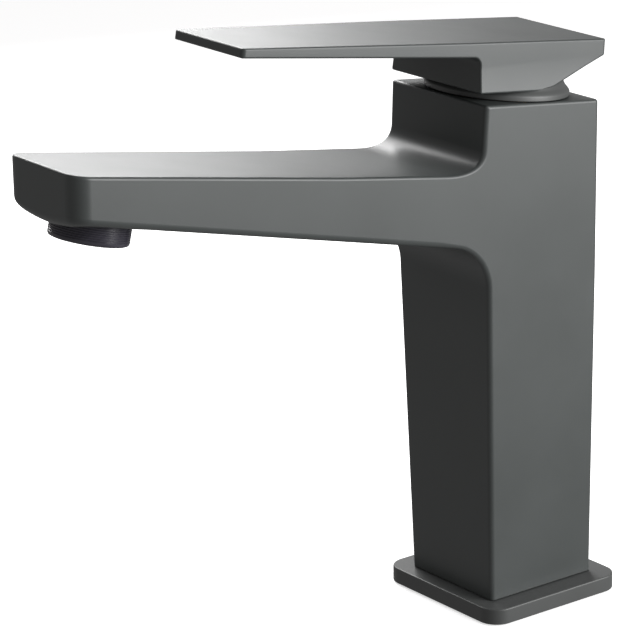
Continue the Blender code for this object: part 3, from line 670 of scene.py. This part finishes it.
# %% Spin the collar
COLLAR_TOP = [(12.5, 6.2), (14.0, 6.1), (15.5, 5.9), (16.6, 5.65), (17.5, 5.3), (18.15, 4.85)]
COLLAR_TOP += [(18.7, 4.3), (19.1, 3.7), (19.4, 3.1), (19.9, 2.6), (20.4, 2.1), (20.65, 1.75), (20.8, 1.4)]
COLLAR_UNDER = [(20.8, 0.45), (20.65, 0.3), (19.5, 0.3), (18.6, 2.0), (17.6, 2.8), (17.6, 0.3)]
COLLAR_UNDER += [(16.4, 0.3), (16.4, 3.4), (12.5, 4.4)]
collar = as_object(spun(COLLAR_TOP + COLLAR_UNDER, 128), "dome_collar", CARTRIDGE)
finished(collar, PAINTED_LIGHTER_COAT, "tap_body", "black_coat", "collar")

# %% [markdown]
# ## The lever
# The lever is a thin paddle that grows out of a block over the cartridge. From the side, the paddle's
# underside runs into the block in a tight curve and the block's heel is cut away in a wide one, which
# gives it room to tip back. Again a side outline is pulled out, and its points are moved to the true
# width. Under it are a pocket for the collar, a boss with the stem's socket, and the hole of a tiny screw.

# %% Measure the lever
LEVER_TIP, LEVER_NECK, BLOCK_FRONT, LEVER_BACK = -103.6, -28.0, -23.6, 22.8
TIP_TOP_H, BACK_TOP_H, TIP_THICK, NECK_H = 18.1, 17.1, 2.7, 13.1
BLOCK_LOW, SLOPE_END_H, BLOCK_FLARE, FLARE_TOP, CHIN_LEAN = 3.1, 12.6, 0.7, 9.6, 0.4
LEVER_TIP_HALF, NECK_HALF, BACK_HALF = 15.5, 18.9, 19.4
HEEL_Y = LEVER_BACK - (SLOPE_END_H - BLOCK_LOW) / math.tan(math.radians(24.2))
LEVER = [
    (LEVER_BACK, BACK_TOP_H),
    (LEVER_TIP, TIP_TOP_H),
    (LEVER_TIP - 0.2, TIP_TOP_H - TIP_THICK),
    (BLOCK_FRONT, NECK_H),
    (BLOCK_FRONT + CHIN_LEAN, BLOCK_LOW),
    (HEEL_Y, BLOCK_LOW),
    (LEVER_BACK + 0.2, SLOPE_END_H),
]
LEVER_EDGE, LEVER_CORNER = 0.6, 1.3


def lever_half(y, height):
    """Half the lever's width at a point of its side: the block flares downwards a little."""
    flare = BLOCK_FLARE * max(0.0, FLARE_TOP - height) / (FLARE_TOP - BLOCK_LOW)
    if y < LEVER_NECK + 0.1:
        share = (y - LEVER_TIP) / (LEVER_NECK - LEVER_TIP)
        return LEVER_TIP_HALF + (NECK_HALF - LEVER_TIP_HALF) * share
    share = (y - LEVER_NECK) / (LEVER_BACK - LEVER_NECK)
    return NECK_HALF + (BACK_HALF - NECK_HALF) * share + flare


def lever_edge(edge):
    """The paddle's upright corners are rounder than its long edges."""
    start, end = (v.co for v in edge.verts)
    first, second = (face.normal for face in edge.link_faces)
    if first.angle(second) < math.radians(30):
        return 0.0
    upright = near(start.x, end.x) and abs(start.z - end.z) > 0.9 * (start - end).length
    ends = start.y < LEVER_TIP + 0.5 or start.y > LEVER_BACK - 0.5
    return LEVER_CORNER if upright and ends else LEVER_EDGE


# %% [markdown]
# The pocket under the lever has to clear the collar while the lever tips back, so the collar's own
# profile, a little larger, is cut from it at four angles of the lift.


# %% Shape the lever
def collar_sweeps():
    grown = [(radius + 0.4, height + 0.4) for radius, height in COLLAR_TOP[::2]]
    profile = [(0.0, grown[0][1])] + grown + [(21.2, -1.0), (0.0, -1.0)]
    for step in range(4):
        angle = LIFT_LIMIT * step / 3
        pivot = Matrix.Translation((0, 0, PIVOT_H))
        tipped = CARTRIDGE @ pivot @ Matrix.Rotation(angle, 4, "X") @ pivot.inverted()
        yield as_object(spun(profile, 64), f"collar_sweep_{step}", tipped)


def lever():
    bm = slab(LEVER, rounds=((3, 2.5, 8), (5, 18.0, 10)))
    slice_at(bm, (0, LEVER_NECK, 0), (0, 1, 0))
    slice_at(bm, (0, 0, FLARE_TOP), (0, 0, 1))
    weigh(bm, lever_edge)
    for point in bm.verts:
        point.co.x *= lever_half(point.co.y, point.co.z)
    piece = softened(as_object(bm, "paddle_lever", CARTRIDGE), 5)
    roof = 10.8
    pocket = [(-21.2, -14.0), (-21.2, roof), (14.8, roof), (16.6, roof - 1.5), (16.6, -14.0)]
    hollow = [as_object(slab(pocket, half=17.0), "pocket", CARTRIDGE), *collar_sweeps()]
    cut(piece, hollow)
    cut(piece, [as_object(cylinder(6.2, 8.6, roof + 1.0), "stem_boss", CARTRIDGE)], "UNION")
    socket = as_object(brick((-3.55, -3.55, PIVOT_H), (3.55, 3.55, 15.2)), "stem_socket", CARTRIDGE)
    across = CARTRIDGE @ Matrix.Translation((0, 0, 14.0)) @ Matrix.Rotation(-math.pi / 2, 4, "X")
    screw_hole = as_object(cylinder(1.55, 2.0, 24.6, steps=32), "screw_hole", across)
    return cut(piece, [socket, screw_hole]), across


lever_piece, ACROSS = lever()
finished(lever_piece, CAST_COAT, "lever", "black_coat", "lever_handle")

# %% [markdown]
# ## The plug over the screw
# A small soft plug closes the screw's hole in the lever's back. It is a domed button, spun and laid down.

# %% Make the plug
PLUG = [(0.0, 21.3), (0.55, 21.26), (0.95, 21.1), (1.18, 20.8), (1.25, 20.4), (1.25, 18.6), (0.0, 18.6)]
button = as_object(spun(PLUG, 32), "screw_button", ACROSS)
finished(button, SEAL_RUBBER, "lever", "rubber", "screw_plug")

# %% [markdown]
# ## The nozzle
# Water leaves through a nozzle that screws into the spout. Its sleeve has fine rings turned round it for
# a grip, and its mouth is rolled inwards. Inside is an insert with a honeycomb of water ways. The rings
# are part of the spun profile, and the honeycomb is a set of six-sided prisms cut from a disc.

# %% Spin the ribbed sleeve
SLEEVE_R, RING_DEPTH, RING_STEP, RINGS = 11.0, 0.16, 0.62, 14
sleeve_outline = [(9.8, 10.0), (SLEEVE_R, 10.0)]
for ring in range(RINGS):
    top = 9.7 - ring * RING_STEP
    sleeve_outline += [(SLEEVE_R, top), (SLEEVE_R - RING_DEPTH, top - 0.16)]
    sleeve_outline += [(SLEEVE_R - RING_DEPTH, top - 0.24), (SLEEVE_R, top - 0.4)]
sleeve_outline += [(SLEEVE_R, 0.9), (10.92, 0.5), (10.7, 0.2), (10.3, 0.03), (9.9, 0.0)]
sleeve_outline += [(9.3, 0.02), (9.0, 0.15), (8.9, 0.4), (8.9, 1.0), (9.8, 1.0)]
sleeve = as_object(spun(sleeve_outline, 128), "ribbed_sleeve", NOZZLE)
finished(sleeve, NOZZLE_PLASTIC, "tap_body", "dark_plastic", "aerator_sleeve")

# %% Cut the honeycomb
CELL_R, CELL_STEP, COMB_R = 0.88, 1.78, 8.1


def honeycomb():
    bm = bmesh.new()
    rows = int(COMB_R / CELL_STEP) + 2
    for row in range(-rows, rows + 1):
        for column in range(-rows, rows + 1):
            x = CELL_STEP * (column + 0.5 * (row % 2))
            y = CELL_STEP * row * math.sqrt(3) / 2
            if math.hypot(x, y) + CELL_R > COMB_R:
                continue
            made = bmesh.ops.create_cone(
                bm, cap_ends=True, segments=6, radius1=CELL_R, radius2=CELL_R, depth=12.0
            )
            bmesh.ops.translate(bm, vec=(x, y, 5.0), verts=made["verts"])
    return as_object(bm, "honeycomb_tool", NOZZLE)


insert = as_object(cylinder(9.5, 1.3, 8.4, steps=96), "honeycomb_insert", NOZZLE)
cut(insert, [honeycomb()])
finished(insert, NOZZLE_PLASTIC, "tap_body", "dark_plastic", "aerator_insert")

# %% [markdown]
# ## The pieces inside
# The cartridge, its seals, the stem and the discs are right as the frame has them: they are turned and
# milled shapes that are mostly out of sight. They keep their meshes and only get their finishes.

# %% Dress the inner pieces
INNER = {
    "base_seal": SEAL_RUBBER,
    "cartridge_nut": TURNED_BRASS,
    "cartridge_housing": PALE_PLASTIC,
    "swivel_rotor": PALE_PLASTIC,
    "stem_pin": BRUSHED_STEEL,
    "lever_stem": BRUSHED_STEEL,
    "grub_screw": BRUSHED_STEEL,
    "disc_carrier": PALE_PLASTIC,
    "moving_disc": LAPPED_CERAMIC,
    "fixed_disc": LAPPED_CERAMIC,
    "cartridge_base": PALE_PLASTIC,
    "cold_seal": SEAL_RUBBER,
    "hot_seal": SEAL_RUBBER,
    "outlet_seal": SEAL_RUBBER,
    "collar_ring": SEAL_RUBBER,
    "aerator_mesh": WIRE_CLOTH,
    "aerator_washer": SEAL_RUBBER,
}
for name, material in INNER.items():
    for place in frame["nodes"][name].material_slots:
        place.material = material
print("dressed", len(INNER), "inner pieces")

# %% [markdown]
# ## The floor
# The tap stands on a wide pale floor. A slight glow of its own keeps it clean and bright up to the
# horizon, so that only a soft shadow shows where the plate touches it.


# %% Lay the floor
def pale_floor():
    finish = Finish("pale_floor", Emission_Strength=0.62)
    finish.shader.inputs["Emission Color"].default_value = (1.0, 1.0, 1.0, 1.0)
    cloud = finish.noise(1.5, 2.0)
    finish.colour(finish.colour_between(cloud, (0.86, 0.86, 0.86), (0.9, 0.9, 0.9)))
    finish.roughness(0.85 + cloud * 0.05)
    bm = bmesh.new()
    bmesh.ops.create_grid(bm, x_segments=1, y_segments=1, size=6000.0)
    bmesh.ops.translate(bm, vec=(0, 0, -0.05), verts=bm.verts)
    floor = as_object(bm, "studio_floor")
    floor.data.materials.append(finish.material)
    floor.visible_glossy = floor.visible_diffuse = False


pale_floor()

# %% [markdown]
# ## The light
# A black satin object is drawn by what it reflects. One wide soft box stands on the right and lights the
# long side of the column and spout, and a second one hangs behind on the left, where the upper faces
# mirror it, strongest at the tips. The front faces mirror only the dim room, and stay dark.


# %% Hang the soft boxes
def soft_box(name, spot, aim, width, height, watts, tint=(1.0, 1.0, 1.0)):
    light = bpy.data.lights.new(name, "AREA")
    light.shape, light.size, light.size_y = "RECTANGLE", width, height
    light.energy, light.color = watts, tint
    hung = bpy.data.objects.new(name, light)
    facing = (Vector(spot) - Vector(aim)).to_track_quat("Z", "Y").to_matrix().to_4x4()
    hung.matrix_world = Matrix.Translation(spot) @ facing
    hung.visible_camera = False
    bpy.context.scene.collection.objects.link(hung)


soft_box("side_box", (0.75, 0.42, 0.30), (0.0, 0.0, 0.12), 0.6, 0.7, 14.0)
soft_box("back_box", (-0.50, 0.10, 0.46), (0.0, -0.06, 0.16), 0.45, 0.35, 5.0)


# %% Fill the room
def room_light(strength):
    """White behind everything that the camera sees, and a dim grey room for every other ray."""
    world = bpy.data.worlds.new("studio_room")
    world.use_nodes = True
    nodes, links = world.node_tree.nodes, world.node_tree.links
    nodes.clear()
    dim, white = nodes.new("ShaderNodeBackground"), nodes.new("ShaderNodeBackground")
    dim.inputs["Strength"].default_value = strength
    dim.inputs["Color"].default_value = (1.0, 0.98, 0.98, 1.0)
    ray, mix, out = (
        nodes.new(kind) for kind in ("ShaderNodeLightPath", "ShaderNodeMixShader", "ShaderNodeOutputWorld")
    )
    links.new(ray.outputs["Is Camera Ray"], mix.inputs[0])
    links.new(dim.outputs[0], mix.inputs[1])
    links.new(white.outputs[0], mix.inputs[2])
    links.new(mix.outputs[0], out.inputs[0])
    bpy.context.scene.world = world


room_light(0.3)
bpy.context.scene.view_settings.view_transform = "Standard"
